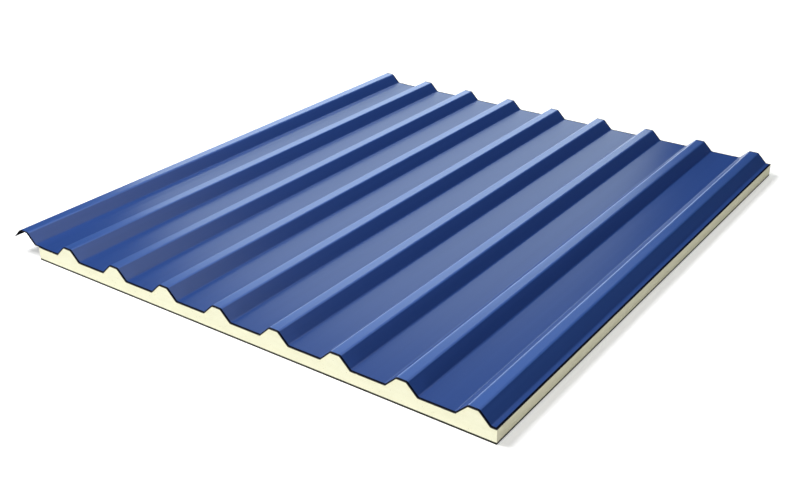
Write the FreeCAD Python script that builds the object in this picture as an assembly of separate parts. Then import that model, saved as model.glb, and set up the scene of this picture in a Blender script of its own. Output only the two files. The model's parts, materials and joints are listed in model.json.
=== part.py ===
import FreeCAD
import Part
import math
import os

# Insulated roof panel: a ribbed steel sheet on top, a rigid foam core that fills its ribs, and a flat
# steel liner underneath, bonded together.
# Millimetres, X across the ribs, Y along them and Z up, with the origin at the middle of the underside.
# The section is drawn from the centre of the lap rib, with zero height at the underside of the valleys,
# and moved to that origin at the end.

# Driving dimensions
panel_length = 1200.0
rib_count = 9
rib_pitch = 125.0
rib_height = 20.0
rib_crown = 19.0  # between the sharp corners, on the foam's side of the sheet
rib_base = 60.0  # between the sharp corners, on the foam's side of the sheet
bend_radius = 5.0  # inside of each bend
sheet_thickness = 0.6
foam_thickness = 26.0  # under the valleys
liner_thickness = 0.4
edge_flange = 11.0  # flat strip beyond the last rib

# The lap rib is hollow and fits over the last rib of the panel beside it
lap_clearance = 0.2  # between the lap rib and the rib under it
lap_leg_rise = 2.0  # the lap rib's free leg stops this far above its foot
joint_gap = 1.0  # between the foam of two panels side by side
joggle_setback = 3.0  # from the foam's lap side to where the sheet starts to come down
joggle_run = 12.0  # the sheet comes down from the lap's level to the valleys' over this width

# Worked out from the dimensions above
cover_width = rib_pitch * (rib_count - 1)
flank_angle = math.atan2(rib_height, (rib_base - rib_crown) / 2)
lap_lift = sheet_thickness + lap_clearance
lap_growth = lap_lift * math.tan(flank_angle / 2)
foam_right = cover_width + rib_base / 2 + edge_flange
foam_left = foam_right - cover_width + joint_gap
valley_level = liner_thickness + foam_thickness


def point(x, z):
    """A point of the section, at the panel's front end."""
    return FreeCAD.Vector(x, -panel_length / 2, z)


def rib_corners(centre, growth=0.0, lift=0.0):
    """The four sharp corners of a rib, left to right, wider by growth on each side and raised by lift."""
    half_base = rib_base / 2 + growth
    half_crown = rib_crown / 2 + growth
    return [
        point(centre - half_base, lift),
        point(centre - half_crown, lift + rib_height),
        point(centre + half_crown, lift + rib_height),
        point(centre + half_base, lift),
    ]


def lap_rib_corners():
    """The lap rib's corners, with its free leg cut short."""
    foot, *others = rib_corners(0.0, lap_growth, lap_lift)
    up_the_leg = FreeCAD.Vector(lap_leg_rise / math.tan(flank_angle), 0.0, lap_leg_rise)
    return [foot + up_the_leg, *others]


def backed_corners():
    """The sheet's underside where foam backs it: from the lap's level to the valleys, then rib by rib."""
    joggle_start = foam_left + joggle_setback
    corners = [
        point(foam_left, lap_lift),
        point(joggle_start, lap_lift),
        point(joggle_start + joggle_run, 0.0),
    ]
    for rib in range(1, rib_count):
        corners += rib_corners(rib * rib_pitch)
    return corners + [point(foam_right, 0.0)]


def sheet_underside():
    """The whole underside of the sheet, which runs straight from the lap rib's foot to the joggle."""
    return lap_rib_corners() + backed_corners()[1:]


def upward_normal(start, end):
    """The unit normal on the upper side of a run of the section, which goes left to right."""
    run = (end - start).normalize()
    return FreeCAD.Vector(-run.z, 0.0, run.x)


def raised(corners, distance):
    """The corners of a line that lies the given distance above the line through these corners."""
    normals = [upward_normal(a, b) for a, b in zip(corners, corners[1:])]
    moved = [corners[0] + normals[0] * distance]
    for corner, before, after in zip(corners[1:], normals, normals[1:]):
        moved.append(corner + (before + after) * (distance / (1.0 + before.dot(after))))
    return moved + [corners[-1] + normals[-1] * distance]


def turns_down(before, corner, after):
    """Whether the section turns downwards at a corner, as at the edges of a crown."""
    return upward_normal(before, corner).x < upward_normal(corner, after).x


def bent_line(corners, is_underside):
    """Straight runs and tangent arcs through the corners, with the bend's inside radius on its inner side."""
    edges = []
    start = corners[0]
    for before, corner, after in zip(corners, corners[1:], corners[2:]):
        is_inside = turns_down(before, corner, after) == is_underside
        radius = bend_radius if is_inside else bend_radius + sheet_thickness
        back = (before - corner).normalize()
        ahead = (after - corner).normalize()
        half_angle = back.getAngle(ahead) / 2
        tangent = radius / math.tan(half_angle)
        to_arc = radius / math.sin(half_angle) - radius
        arc_start = corner + back * tangent
        arc_middle = corner + (back + ahead).normalize() * to_arc
        arc_end = corner + ahead * tangent
        edges.append(Part.LineSegment(start, arc_start).toShape())
        edges.append(Part.Arc(arc_start, arc_middle, arc_end).toShape())
        start = arc_end
    edges.append(Part.LineSegment(start, corners[-1]).toShape())
    return edges


def extruded(outline):
    """The solid that a closed outline of the section makes along the panel."""
    face = Part.Face(Part.Wire(outline))
    return face.extrude(FreeCAD.Vector(0.0, panel_length, 0.0))


def straight(*corners):
    """Straight edges through the corners."""
    return [Part.LineSegment(a, b).toShape() for a, b in zip(corners, corners[1:])]


def make_top_sheet():
    """The roll-formed sheet, one thickness all over, from the lap rib on the left to the flange."""
    lower = sheet_underside()
    upper = raised(lower, sheet_thickness)
    outline = bent_line(lower, True) + straight(lower[-1], upper[-1])
    outline += bent_line(upper, False)[::-1]
    outline += straight(upper[0], lower[0])
    return extruded(outline)


def make_foam_core():
    """The foam, foamed up against the sheet's underside and flat against the liner."""
    top = backed_corners()
    bottom_left = point(foam_left, -foam_thickness)
    bottom_right = point(foam_right, -foam_thickness)
    outline = bent_line(top, True) + straight(top[-1], bottom_right, bottom_left, top[0])
    return extruded(outline)


def make_bottom_liner():
    """The flat liner, as wide as the foam."""
    corner = point(foam_left, -valley_level)
    return Part.makeBox(foam_right - foam_left, panel_length, liner_thickness, corner)


def to_origin():
    """From the section's own zero to the middle of the underside."""
    lap_edge = raised(sheet_underside(), sheet_thickness)[0].x
    return FreeCAD.Vector(-(lap_edge + foam_right) / 2, 0.0, valley_level)


def main():
    os.makedirs("parts", exist_ok=True)
    pieces = {
        "top_sheet": make_top_sheet(),
        "foam_core": make_foam_core(),
        "bottom_liner": make_bottom_liner(),
    }
    for name, solid in pieces.items():
        solid.translate(to_origin())
        solid.exportStep(f"parts/{name}.step")
        print(name, "valid" if solid.isValid() else "NOT VALID", f"{solid.Volume:.0f} mm3")


main()
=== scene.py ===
import json
import math

import bmesh
import bpy
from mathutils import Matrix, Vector, noise


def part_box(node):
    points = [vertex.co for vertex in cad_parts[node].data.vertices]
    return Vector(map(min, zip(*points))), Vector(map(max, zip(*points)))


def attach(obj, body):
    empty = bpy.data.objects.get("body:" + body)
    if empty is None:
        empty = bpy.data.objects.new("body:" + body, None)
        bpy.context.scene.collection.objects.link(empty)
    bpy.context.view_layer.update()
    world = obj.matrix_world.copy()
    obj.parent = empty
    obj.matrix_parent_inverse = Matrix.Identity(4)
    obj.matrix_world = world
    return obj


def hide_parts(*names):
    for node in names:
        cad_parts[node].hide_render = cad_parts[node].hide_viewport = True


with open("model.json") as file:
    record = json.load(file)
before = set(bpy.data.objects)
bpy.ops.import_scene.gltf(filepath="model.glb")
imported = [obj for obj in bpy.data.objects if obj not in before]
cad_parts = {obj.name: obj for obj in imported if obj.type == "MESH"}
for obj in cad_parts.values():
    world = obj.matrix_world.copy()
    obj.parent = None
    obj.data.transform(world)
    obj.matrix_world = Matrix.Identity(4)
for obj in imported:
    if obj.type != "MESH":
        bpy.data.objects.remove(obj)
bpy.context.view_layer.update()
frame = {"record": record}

# Top sheet
# The weather skin of the panel: one thin steel coil, painted blue before it is roll-formed into ribs.
# Foam is bonded under it, apart from the hollow left rib, which laps over the panel beside it.
rib_height = 0.020
rib_crown = 0.019
rib_base = 0.060
bend_radius = 0.005
bend_segments = 8
sheet_thickness = 0.0006
lap_lift = 0.0008
lap_leg_rise = 0.002
joggle_setback = 0.003
joggle_run = 0.012

sheet_low, sheet_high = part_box("top_sheet")
foam_low, foam_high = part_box("foam_core")
panel_length = sheet_high.y - sheet_low.y
valley_level = foam_high.z - rib_height
seats = [mount for mount in frame["record"]["mounts"] if mount["name"].startswith("crown_seat_")]
rib_centres = sorted(seat["pos_m"][0] for seat in seats)
flank_angle = math.atan2(rib_height, (rib_base - rib_crown) / 2)
half_turn = math.tan(flank_angle / 2)  # the tangent of half the turn at each bend


def front_point(x, z):
    """A point of the section at the panel's front end."""
    return Vector((x, sheet_low.y, z))


def rib_corners(centre, foot, grow):
    """Sharp corners of a rib, left to right, from its foot level and wider by grow on each side."""
    half_base = rib_base / 2 + grow
    half_crown = rib_crown / 2 + grow
    return [
        front_point(centre - half_base, foot),
        front_point(centre - half_crown, foot + rib_height),
        front_point(centre + half_crown, foot + rib_height),
        front_point(centre + half_base, foot),
    ]


def backed_corners(above):
    """Sharp corners of the section where foam backs the sheet, at a height above the sheet's underside."""
    joggle_start = foam_low.x + joggle_setback
    corners = [
        front_point(joggle_start, valley_level + lap_lift + above),
        front_point(joggle_start + joggle_run, valley_level + above),
    ]
    for centre in rib_centres[1:]:
        corners += rib_corners(centre, valley_level + above, above * half_turn)
    return corners + [front_point(foam_high.x, valley_level + above)]


def lap_rib_corners(above):
    """Sharp corners of the hollow lap rib, whose free leg is cut short and square."""
    lift = lap_lift + above
    corners = rib_corners(rib_centres[0], valley_level + lift, lift * half_turn)
    along_leg = lap_leg_rise / math.sin(flank_angle) - above * half_turn
    corners[0] += Vector((math.cos(flank_angle), 0, math.sin(flank_angle))) * along_leg
    return corners


def bent_line(bm, corners, radius):
    """Draws a line through the corners and rounds each bend."""
    verts = [bm.verts.new(corner) for corner in corners]
    for pair in zip(verts, verts[1:]):
        bm.edges.new(pair)
    bmesh.ops.bevel(
        bm,
        geom=verts[1:-1],
        offset=radius * half_turn,
        segments=bend_segments,
        profile=0.5,
        affect="VERTICES",
        material=-1,
    )


def only(kind, geometry):
    """The vertices, edges or faces among the parts that an operator gives back."""
    return [part for part in geometry if isinstance(part, kind)]


cut_edge_angle = math.radians(30)  # a sharper turn than this is a cut edge


def shown_piece(name, bm, materials):
    """Turns a finished bmesh into an object with smooth bends and crisp cut edges."""
    mesh = bpy.data.meshes.new(name)
    bm.to_mesh(mesh)
    bm.free()
    mesh.shade_smooth()
    mesh.set_sharp_from_angle(angle=cut_edge_angle)
    for material in materials:
        mesh.materials.append(material)
    piece = bpy.data.objects.new(name, mesh)
    bpy.context.scene.collection.objects.link(piece)
    return piece


def set_inputs(tree, node, inputs):
    """Sets a node's inputs to values, or links them to other nodes."""
    for socket, value in inputs.items():
        if isinstance(value, bpy.types.NodeSocket):
            tree.links.new(value, node.inputs[socket])
        else:
            node.inputs[socket].default_value = value


def add_node(tree, kind, inputs=None, **settings):
    """Adds a shader node with these settings and inputs."""
    node = tree.nodes.new("ShaderNode" + kind)
    for setting, value in settings.items():
        setattr(node, setting, value)
    set_inputs(tree, node, inputs or {})
    return node


def new_finish(name):
    """A new material, its node tree and its Principled shader."""
    material = bpy.data.materials.new(name)
    material.use_nodes = True
    tree = material.node_tree
    return material, tree, tree.nodes["Principled BSDF"]


def object_place(tree):
    """The place on the piece, in metres, as a vector and as its three parts."""
    vector = add_node(tree, "TexCoord").outputs["Object"]
    parts = add_node(tree, "SeparateXYZ", {"Vector": vector}).outputs
    return vector, parts


def ramp(tree, value, start, end, low=0.0, high=1.0):
    """A value that goes from low to high while another goes from start to end."""
    inputs = {"Value": value, "From Min": start, "From Max": end, "To Min": low, "To Max": high}
    return add_node(tree, "MapRange", inputs).outputs["Result"]


def between(tree, share, low, high):
    """A value between low and high, by a share from nothing to one."""
    return ramp(tree, share, 0.0, 1.0, low, high)


def maths(tree, operation, *values):
    """The result of a sum on one or two values."""
    return add_node(tree, "Math", dict(enumerate(values)), operation=operation).outputs[0]


def mix_colours(tree, share, low, high):
    """A colour between two colours, by a share. The colour sockets of a Mix node go by number."""
    return add_node(tree, "Mix", {0: share, 6: low, 7: high}, data_type="RGBA").outputs[2]


def even_noise(tree, place, scale, detail=2.0):
    """Noise that is the same all ways."""
    return add_node(tree, "TexNoise", {"Vector": place, "Scale": scale, "Detail": detail}).outputs["Fac"]


def stretched_noise(tree, place, scale):
    """Noise that is drawn out along the axes with the smaller scales."""
    drawn_out = add_node(tree, "Mapping", {"Vector": place, "Scale": scale}).outputs["Vector"]
    return even_noise(tree, drawn_out, 1.0)


noise_range = (0.3, 0.7)  # where most of a noise's values lie
streak_scale = (90.0, 1.3, 90.0)
wave_scale = (9.0, 2.5, 9.0)


def rolled_coat_group():
    """Coil coating: faint streaks along the coil, the fine peel of cured paint, and slight waves."""
    group = bpy.data.node_groups.new("rolled_coat", "ShaderNodeTree")
    for name in ("Peel Scale", "Peel Depth", "Wave Depth"):
        group.interface.new_socket(name, in_out="INPUT", socket_type="NodeSocketFloat")
    group.interface.new_socket("Streaks", in_out="OUTPUT", socket_type="NodeSocketFloat")
    group.interface.new_socket("Normal", in_out="OUTPUT", socket_type="NodeSocketVector")
    given = group.nodes.new("NodeGroupInput").outputs
    place, _ = object_place(group)
    streaks = stretched_noise(group, place, streak_scale)
    waves = stretched_noise(group, place, wave_scale)
    peel = even_noise(group, place, given["Peel Scale"])
    waved = add_node(group, "Bump", {"Height": waves, "Distance": given["Wave Depth"]}).outputs["Normal"]
    bump = add_node(group, "Bump", {"Height": peel, "Distance": given["Peel Depth"], "Normal": waved})
    set_inputs(group, group.nodes.new("NodeGroupOutput"), {
        "Streaks": ramp(group, streaks, *noise_range),
        "Normal": bump.outputs["Normal"],
    })
    return group


rolled_coat = rolled_coat_group()


def coat_of(tree, peel_scale, peel_depth, wave_depth):
    """Places the coil coating's grain in a material and gives its outputs."""
    inputs = {"Peel Scale": peel_scale, "Peel Depth": peel_depth, "Wave Depth": wave_depth}
    return add_node(tree, "Group", inputs, node_tree=rolled_coat).outputs


# The crowns' blue is lighter than the valleys' blue: painted light on the crowns and painted shade in the
# valleys between the ribs.
valley_blue = (0.030, 0.081, 0.311, 1.0)
crown_blue_painted_light = (0.051, 0.136, 0.480, 1.0)
valley_metallic, crown_metallic = 0.10, 0.38
valley_gloss, crown_gloss = 0.62, 0.86
crown_start = 0.94  # of the rib's height
streak_shade = (0.97, 1.03)
paint_roughness = (0.40, 0.44)
gloss_roughness = 0.22
sealed_edge = (0.004, 0.005, 0.012, 1.0)
sealed_width = 0.0032
sealed_side_width = 0.0040
sealed_fade = 0.0006


def sealed_mask(tree, place):
    """Where the paint is sealed dark: along both cut ends and the flange's edge."""
    end_start = panel_length / 2 - sealed_width
    side_start = sheet_high.x - sealed_side_width
    from_middle = maths(tree, "ABSOLUTE", place["Y"])
    at_end = ramp(tree, from_middle, end_start, end_start + sealed_fade)
    at_side = ramp(tree, place["X"], side_start, side_start + sealed_fade)
    return maths(tree, "MAXIMUM", at_end, at_side)


def blue_paint():
    """Satin blue paint, glossier on the crowns, lighter there as painted light and darker in the valleys
    as painted shade, with dark sealed cut edges.
    """
    material, tree, shader = new_finish("blue_paint")
    coat = coat_of(tree, peel_scale=900.0, peel_depth=0.000012, wave_depth=0.0004)
    _, place = object_place(tree)
    sealed = sealed_mask(tree, place)
    # Painted light by height: the top of each rib takes the lighter crown blue, and the flanks and valleys
    # take the darker one.
    crown_share = ramp(tree, place["Z"], valley_level + crown_start * rib_height, valley_level + rib_height)
    plain = mix_colours(tree, crown_share, valley_blue, crown_blue_painted_light)
    shade = between(tree, coat["Streaks"], *streak_shade)
    streaked = add_node(tree, "HueSaturation", {"Color": plain, "Value": shade}).outputs["Color"]
    gloss = between(tree, crown_share, valley_gloss, crown_gloss)
    set_inputs(tree, shader, {
        "Base Color": mix_colours(tree, sealed, streaked, sealed_edge),
        "Metallic": between(tree, crown_share, valley_metallic, crown_metallic),
        "Roughness": between(tree, coat["Streaks"], *paint_roughness),
        "Specular IOR Level": 0.0,
        "Coat Weight": maths(tree, "MULTIPLY", gloss, between(tree, sealed, 1.0, 0.0)),
        "Coat Roughness": gloss_roughness,
        "Normal": coat["Normal"],
    })
    return material


# The underside's near-black colour is painted shade inside the hollow lap rib.
backing_painted_shade_low = (0.003, 0.003, 0.005, 1.0)
backing_painted_shade_high = (0.006, 0.006, 0.008, 1.0)
backing_roughness = (0.5, 0.6)


def backing_coat_painted_shade():
    """The thin coat on the underside of the sheet, seen only inside the lap rib, coloured near black as
    painted shade.
    """
    material, tree, shader = new_finish("backing_coat_painted_shade")
    coat = coat_of(tree, peel_scale=700.0, peel_depth=0.00002, wave_depth=0.0004)
    set_inputs(tree, shader, {
        "Base Color": mix_colours(tree, coat["Streaks"], backing_painted_shade_low, backing_painted_shade_high),
        "Roughness": between(tree, coat["Streaks"], *backing_roughness),
        "Specular IOR Level": 0.0,
        "Normal": coat["Normal"],
    })
    return material


drag_scale = 1500.0
sheared_low = (0.004, 0.005, 0.010, 1.0)
sheared_high = (0.012, 0.013, 0.022, 1.0)
sheared_roughness = (0.5, 0.7)


def sheared_steel():
    """The sheared edge of the sheet, dark and finely dragged."""
    material, tree, shader = new_finish("sheared_steel")
    place, _ = object_place(tree)
    drag = even_noise(tree, place, drag_scale)
    set_inputs(tree, shader, {
        "Base Color": mix_colours(tree, drag, sheared_low, sheared_high),
        "Roughness": ramp(tree, drag, *noise_range, *sheared_roughness),
        "Specular IOR Level": 0.2,
    })
    return material


PAINT, BACKING, SHEARED = range(3)

bm = bmesh.new()
upper_corners = lap_rib_corners(sheet_thickness) + backed_corners(sheet_thickness)
bent_line(bm, upper_corners, bend_radius + sheet_thickness / 2)
swept = bmesh.ops.extrude_edge_only(bm, edges=bm.edges[:])["geom"]
bmesh.ops.translate(bm, verts=only(bmesh.types.BMVert, swept), vec=(0, panel_length, 0))
bmesh.ops.recalc_face_normals(bm, faces=bm.faces[:])
if sum(face.normal.z for face in bm.faces) < 0:
    bmesh.ops.reverse_faces(bm, faces=bm.faces[:])
bmesh.ops.solidify(bm, geom=bm.faces[:], thickness=sheet_thickness)
for face in bm.faces:
    middle = face.calc_center_median()
    to_side = min(middle.x - sheet_low.x, sheet_high.x - middle.x)
    to_end = min(middle.y - sheet_low.y, sheet_high.y - middle.y)
    if min(to_side, to_end) < sheet_thickness:
        face.material_index = SHEARED
    elif face.normal.z > 0:
        face.material_index = PAINT
    else:
        face.material_index = BACKING
ribbed_sheet = shown_piece("ribbed_sheet", bm, [blue_paint(), backing_coat_painted_shade(), sheared_steel()])
flat_runs = ribbed_sheet.modifiers.new("flat_runs", "WEIGHTED_NORMAL")
flat_runs.keep_sharp = True
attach(ribbed_sheet, "root")
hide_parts("top_sheet")

# Foam core
# Rigid polyurethane, foamed between the two skins so that it fills the ribs and sticks to both of them.
# Its ends are sawn with the panel to length, and its long sides are formed against the side rails.
foam_step = 0.00125
foam_rows = 20
edge_fade = 0.0012
saw_relief = 0.00018
torn_scale = 260
torn_fade, torn_step, torn_layers = 1.0, 2.0, 3  # each finer layer of the torn grain is fainter
hole_spacing = 0.013
hole_depth = 0.0012
hole_seed = 7.3
smallest_hole = 0.0012
hole_growth = 0.0016
bare_share = 0.45  # of the places where a hole could be, the share that has none


def blow_hole(place):
    """Depth of the blow holes in the foam: round, few, and each of its own size."""
    nearest = noise.voronoi(place / hole_spacing)[1][0]
    size = noise.cell(nearest * hole_seed) - bare_share
    if size < 0:
        return 0.0
    radius = smallest_hole + hole_growth * size
    out = (place - nearest * hole_spacing).length / radius
    return hole_depth * math.sqrt(1 - out * out) if out < 1 else 0.0


def foam_relief(place):
    """How far the sawn foam lies behind the panel's end at a place."""
    torn = noise.fractal(place * torn_scale, torn_fade, torn_step, torn_layers) * 0.5 + 0.5
    return saw_relief * min(max(torn, 0), 1) + blow_hole(place)


cell_scale = 1100.0
cell_relief = 0.00015
cell_relief_strength = 0.5
mottle_scale = 35.0
mottle_detail = 4.0
rise_scale = (22.0, 22.0, 150.0)
cream_low = (0.868, 0.860, 0.632, 1.0)
cream_high = (0.930, 0.927, 0.710, 1.0)
darkest_tone, lightest_tone = 1.9, 1.0  # of cells, mottle and rise lines together
foam_roughness = (0.82, 0.92)
pore_scale = 240.0
# The pores' darker colour is painted shade inside them.
pore_painted_shade = (0.60, 0.56, 0.35, 1.0)
poreless_share = 0.5  # of the places where a pore could be, the share that has none
largest_pore = 0.16  # of the space between two pores
skin_cream = (0.78, 0.75, 0.50, 1.0)
skin_depth = 0.005
skin_strength = 0.5
bond_line = (0.004, 0.005, 0.010, 1.0)
bond_width = 0.0016
liner_line = (0.010, 0.011, 0.007, 1.0)
liner_line_width = 0.0030
line_blur = 0.0004


def pore_mask(tree, place):
    """Where the foam has small round pores, each of its own size."""
    pores = add_node(tree, "TexVoronoi", {"Vector": place, "Scale": pore_scale}).outputs
    chance = add_node(tree, "SeparateColor", {"Color": pores["Color"]}).outputs["Red"]
    radius = ramp(tree, chance, poreless_share, 1.0, 0.0, largest_pore)
    return maths(tree, "LESS_THAN", pores["Distance"], radius)


def line_mask(tree, distance, width):
    """Where the foam is dark along its bond to a skin, up to a width from that skin."""
    return ramp(tree, distance, width + line_blur, width - line_blur)


def cream_foam():
    """Cream closed-cell foam with small pores, denser at the skins and dark along the bonds to them."""
    material, tree, shader = new_finish("cream_foam")
    place, parts = object_place(tree)
    cells = add_node(tree, "TexVoronoi", {"Vector": place, "Scale": cell_scale}).outputs["Distance"]
    mottle = even_noise(tree, place, mottle_scale, mottle_detail)
    rise = stretched_noise(tree, place, rise_scale)
    pores = pore_mask(tree, place)
    from_sheet = add_node(tree, "Attribute", attribute_name="from_sheet").outputs["Fac"]
    from_liner = maths(tree, "SUBTRACT", parts["Z"], foam_low.z)
    from_skin = maths(tree, "MINIMUM", from_sheet, from_liner)
    tone = maths(tree, "ADD", cells, maths(tree, "ADD", mottle, rise))
    colour = mix_colours(tree, ramp(tree, tone, darkest_tone, lightest_tone), cream_low, cream_high)
    # The pores are darkened as painted shade inside them.
    for mask, shade in (
        (pores, pore_painted_shade),
        (ramp(tree, from_skin, skin_depth, 0.0, 0.0, skin_strength), skin_cream),
        (line_mask(tree, from_sheet, bond_width), bond_line),
        (line_mask(tree, from_liner, liner_line_width), liner_line),
    ):
        colour = mix_colours(tree, mask, colour, shade)
    bump = add_node(tree, "Bump", {
        "Height": maths(tree, "SUBTRACT", cells, pores),
        "Strength": cell_relief_strength,
        "Distance": cell_relief,
    })
    set_inputs(tree, shader, {
        "Base Color": colour,
        "Roughness": ramp(tree, mottle, *noise_range, *foam_roughness),
        "Specular IOR Level": 0.15,
        "Normal": bump.outputs["Normal"],
    })
    return material


touching = 1e-6
side_line_ratio = 3  # the bond line is this much thinner on the long sides


def on_long_side(place):
    """Whether a place is on one of the foam's two long sides."""
    return min(abs(place.x - foam_low.x), abs(place.x - foam_high.x)) < touching


def under_flank(place):
    """Whether a place is under a sloping side of a rib."""
    return any(rib_crown / 2 < abs(place.x - centre) < rib_base / 2 for centre in rib_centres[1:])


def cuts_along(length):
    """How many cuts divide a length into steps of the foam's mesh."""
    return round(length / foam_step) - 1


bm = bmesh.new()
from_sheet = bm.verts.layers.float.new("from_sheet")
bent_line(bm, [front_point(foam_low.x, valley_level + lap_lift)] + backed_corners(0), bend_radius)
for edge in bm.edges[:]:
    cuts = cuts_along(edge.calc_length())
    if cuts > 0:
        bmesh.ops.subdivide_edges(bm, edges=[edge], cuts=cuts)
swept = bmesh.ops.extrude_edge_only(bm, edges=bm.edges[:])["geom"]
for vert in only(bmesh.types.BMVert, swept):
    vert[from_sheet] = vert.co.z - foam_low.z
    vert.co.z = foam_low.z
uprights = [edge for edge in bm.edges if abs(edge.verts[0].co.z - edge.verts[1].co.z) > rib_height]
bmesh.ops.subdivide_edges(bm, edges=uprights, cuts=foam_rows - 1, use_grid_fill=True)
end_face = bmesh.ops.extrude_face_region(bm, geom=bm.faces[:], use_keep_orig=True)["geom"]
bmesh.ops.translate(bm, verts=only(bmesh.types.BMVert, end_face), vec=(0, panel_length, 0))
bmesh.ops.recalc_face_normals(bm, faces=bm.faces[:])
long_edges = [edge for edge in bm.edges if edge.calc_length() > panel_length / 2]
side_edges = [edge for edge in long_edges if on_long_side(edge.verts[0].co)]
bmesh.ops.subdivide_edges(bm, edges=side_edges, cuts=cuts_along(panel_length), use_grid_fill=True)
for vert in bm.verts:
    place = vert.co.copy()
    depth = foam_relief(place) * min(1, vert[from_sheet] / edge_fade, (place.z - foam_low.z) / edge_fade)
    for axis in range(2):
        if place[axis] - foam_low[axis] < touching:
            vert.co[axis] += depth
        elif foam_high[axis] - place[axis] < touching:
            vert.co[axis] -= depth
    if on_long_side(place):
        vert[from_sheet] *= side_line_ratio
    elif under_flank(place):
        vert[from_sheet] *= math.cos(flank_angle)
foam_block = shown_piece("foam_block", bm, [cream_foam()])
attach(foam_block, "root")
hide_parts("foam_core")

# Bottom liner
# The flat inner skin, a thinner steel coil with a pale coat, bonded to the foam's underside.
# It is as wide as the foam and stays as it was drawn, with its coat and its dark sheared edges.
liner_low = (0.62, 0.64, 0.65, 1.0)
liner_high = (0.68, 0.70, 0.70, 1.0)
liner_edge = (0.020, 0.022, 0.018, 1.0)
liner_roughness = (0.42, 0.5)
flat_facing, edge_facing = 0.6, 0.4  # how much of a face's normal is up or down

liner_coating, tree, shader = new_finish("liner_coating")
coat = coat_of(tree, peel_scale=600.0, peel_depth=0.00002, wave_depth=0.0004)
normal = add_node(tree, "NewGeometry").outputs["Normal"]
upward = add_node(tree, "SeparateXYZ", {"Vector": normal}).outputs["Z"]
on_edge = ramp(tree, maths(tree, "ABSOLUTE", upward), flat_facing, edge_facing)
pale = mix_colours(tree, coat["Streaks"], liner_low, liner_high)
set_inputs(tree, shader, {
    "Base Color": mix_colours(tree, on_edge, pale, liner_edge),
    "Roughness": between(tree, coat["Streaks"], *liner_roughness),
    "Normal": coat["Normal"],
})
bpy.data.objects["bottom_liner"].material_slots[0].material = liner_coating

# Floor and studio light
# A pale floor under the panel, lamps on all sides for even light, and two bright boxes that the paint
# mirrors. A dark screen that stands round the back shows only in the paint, as a backdrop to the boxes.
white = (1.0, 1.0, 1.0, 1.0)
fill_light = 0.10
floor_size = 30.0
floor_level = -0.0002
floor_white = (0.92, 0.92, 0.92, 1.0)
near_glow, far_glow = 0.42, 0.90
glow_start, glow_end = 0.8, 3.5


def seen_directly(tree):
    """One for camera, mirror and glass rays, nothing for the rays that light the object."""
    ray = add_node(tree, "LightPath").outputs
    seen = maths(tree, "MAXIMUM", ray["Is Camera Ray"], ray["Is Glossy Ray"])
    return maths(tree, "MAXIMUM", seen, ray["Is Transmission Ray"])


world = bpy.data.worlds.new("studio")
world.use_nodes = True
bpy.context.scene.world = world
tree = world.node_tree
set_inputs(tree, tree.nodes["Background"], {
    "Color": white,
    "Strength": between(tree, seen_directly(tree), fill_light, 1.0),
})

pale_floor, tree, shader = new_finish("pale_floor")
place, _ = object_place(tree)
away = add_node(tree, "VectorMath", {0: place}, operation="LENGTH").outputs["Value"]
glow = ramp(tree, away, glow_start, glow_end, near_glow, far_glow)
set_inputs(tree, shader, {
    "Base Color": floor_white,
    "Roughness": 1.0,
    "Specular IOR Level": 0.0,
    "Emission Color": white,
    "Emission Strength": maths(tree, "MULTIPLY", glow, seen_directly(tree)),
})
bm = bmesh.new()
bmesh.ops.create_grid(bm, x_segments=1, y_segments=1, size=floor_size)
bmesh.ops.translate(bm, verts=bm.verts[:], vec=(0, 0, floor_level))
shown_piece("studio_floor", bm, [pale_floor])

plain_light = (1.0, 1.0, 1.0)
warm_light = (1.0, 0.87, 0.82)
faintly_warm_light = (1.0, 0.92, 0.90)
cool_light = (0.80, 0.92, 1.0)
green_light = (0.88, 1.0, 0.95)


def lamp(name, centre, width, radiance, tint=plain_light, mirrored=False):
    """A round lamp that faces the panel, as bright as radiance says, where 1 is white."""
    area = math.pi * width ** 2 / 4
    light = bpy.data.lights.new(name, "AREA")
    light.shape = "DISK"
    light.size = width
    light.color = tint
    light.energy = radiance * math.pi * area
    holder = bpy.data.objects.new(name, light)
    holder.location = centre
    holder.rotation_euler = Vector(centre).to_track_quat("Z", "Y").to_euler()
    holder.visible_camera = False
    holder.visible_glossy = mirrored
    bpy.context.scene.collection.objects.link(holder)


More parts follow.
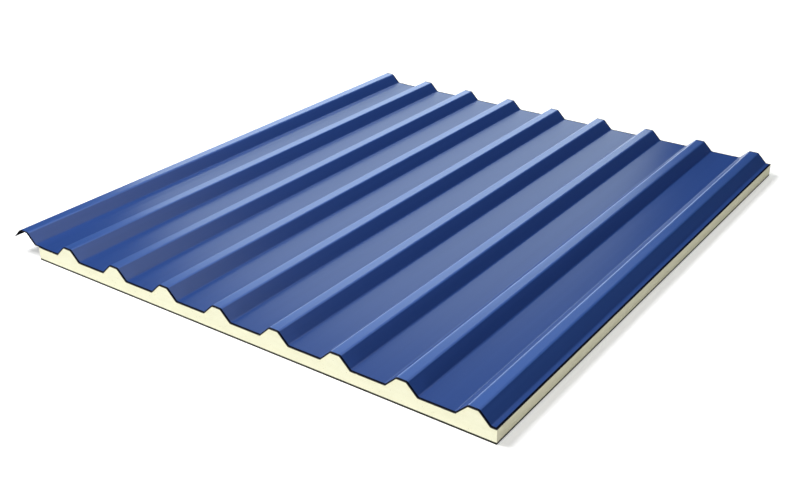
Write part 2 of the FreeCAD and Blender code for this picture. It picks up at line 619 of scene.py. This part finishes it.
lamp("key_lamp", centre=(-3.3, -1.5, 4.8), width=2.6, radiance=18.2)
lamp("front_lamp", centre=(0.9, -4.4, 0.6), width=1.2, radiance=18.0)
lamp("right_lamp", centre=(4.7, -2.2, 0.4), width=0.8, radiance=18.5, tint=warm_light)
lamp("back_lamp", centre=(0.6, 4.5, 0.6), width=1.2, radiance=8.0, tint=faintly_warm_light)
lamp("side_box", centre=(2.73, 2.64, 4.73), width=2.2, radiance=1.75, tint=cool_light, mirrored=True)
lamp("back_box", centre=(-1.96, 2.60, 0.76), width=2.9, radiance=2.13, tint=green_light, mirrored=True)

screen_radius = 4.5
screen_height = 4.8
screen_start = math.radians(80)  # to the right of straight back
screen_sweep = math.radians(190)
screen_steps = 48
dip_start = 1.5  # the screen's top comes down to the right of this
dip_slope = 0.55
cloth_black = (0.01, 0.01, 0.01, 1.0)

bm = bmesh.new()
foot = bm.verts.new(Vector((math.sin(screen_start), math.cos(screen_start), 0)) * screen_radius)
head = bm.verts.new(foot.co + Vector((0, 0, screen_height)))
edge = bm.edges.new((foot, head))
bmesh.ops.spin(
    bm,
    geom=[foot, head, edge],
    axis=(0, 0, 1),
    cent=(0, 0, 0),
    angle=screen_sweep,
    steps=screen_steps,
)
for vert in bm.verts:
    if vert.co.z > 0:
        vert.co.z -= max(0, vert.co.x - dip_start) * dip_slope
dark_cloth, tree, shader = new_finish("dark_cloth")
set_inputs(tree, shader, {"Base Color": cloth_black, "Roughness": 1.0})
dark_screen = shown_piece("dark_screen", bm, [dark_cloth])
dark_screen.visible_camera = False
dark_screen.visible_diffuse = False
dark_screen.visible_shadow = False
dark_screen.visible_transmission = False

# Camera
# The photograph's viewpoint, above and beyond the front right corner, looking back and to the left across
# the ribs. Its place and lens were fitted to the corners of the panel in the picture.
eye = Vector((1.1365, -1.69835, 0.94025))
aim = Vector((0.06875, -0.17373, 0.020))
lens = bpy.data.cameras.new("camera")
lens.lens = 48.55
lens.sensor_width = 36.0
camera = bpy.data.objects.new("camera", lens)
camera.location = eye
camera.rotation_euler = (aim - eye).to_track_quat("-Z", "Y").to_euler()
bpy.context.scene.collection.objects.link(camera)
bpy.context.scene.camera = camera

bpy.context.scene.view_settings.view_transform = "Standard"
